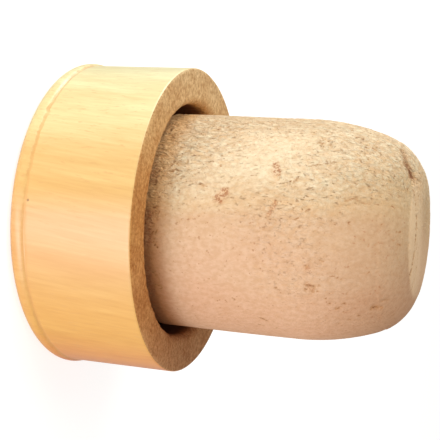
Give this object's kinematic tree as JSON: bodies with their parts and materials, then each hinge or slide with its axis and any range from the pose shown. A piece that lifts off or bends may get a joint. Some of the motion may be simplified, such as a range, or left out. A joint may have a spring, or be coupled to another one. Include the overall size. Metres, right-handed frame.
{
  "type": "wooden bottle stopper",
  "caption": "T-shaped bottle stopper: a short round wooden cap with a natural cork plug glued into a recess in its underside.",
  "frame": {"origin": "centre of the wooden cap's flat outer face, on which the stopper stands", "axes": "+Z along the common axis, from the cap's outer face towards the cork's free end"},
  "size_m": [0.0304, 0.0304, 0.035],
  "materials": {
    "varnished_beech": "clear satin varnish on the turned side, raw end grain on the underside",
    "natural_cork": "natural cork, ground smooth, unwaxed"
  },
  "bodies": {
    "root": {"wooden_cap": "varnished_beech", "cork_plug": "natural_cork"}
  },
  "joints": []
}
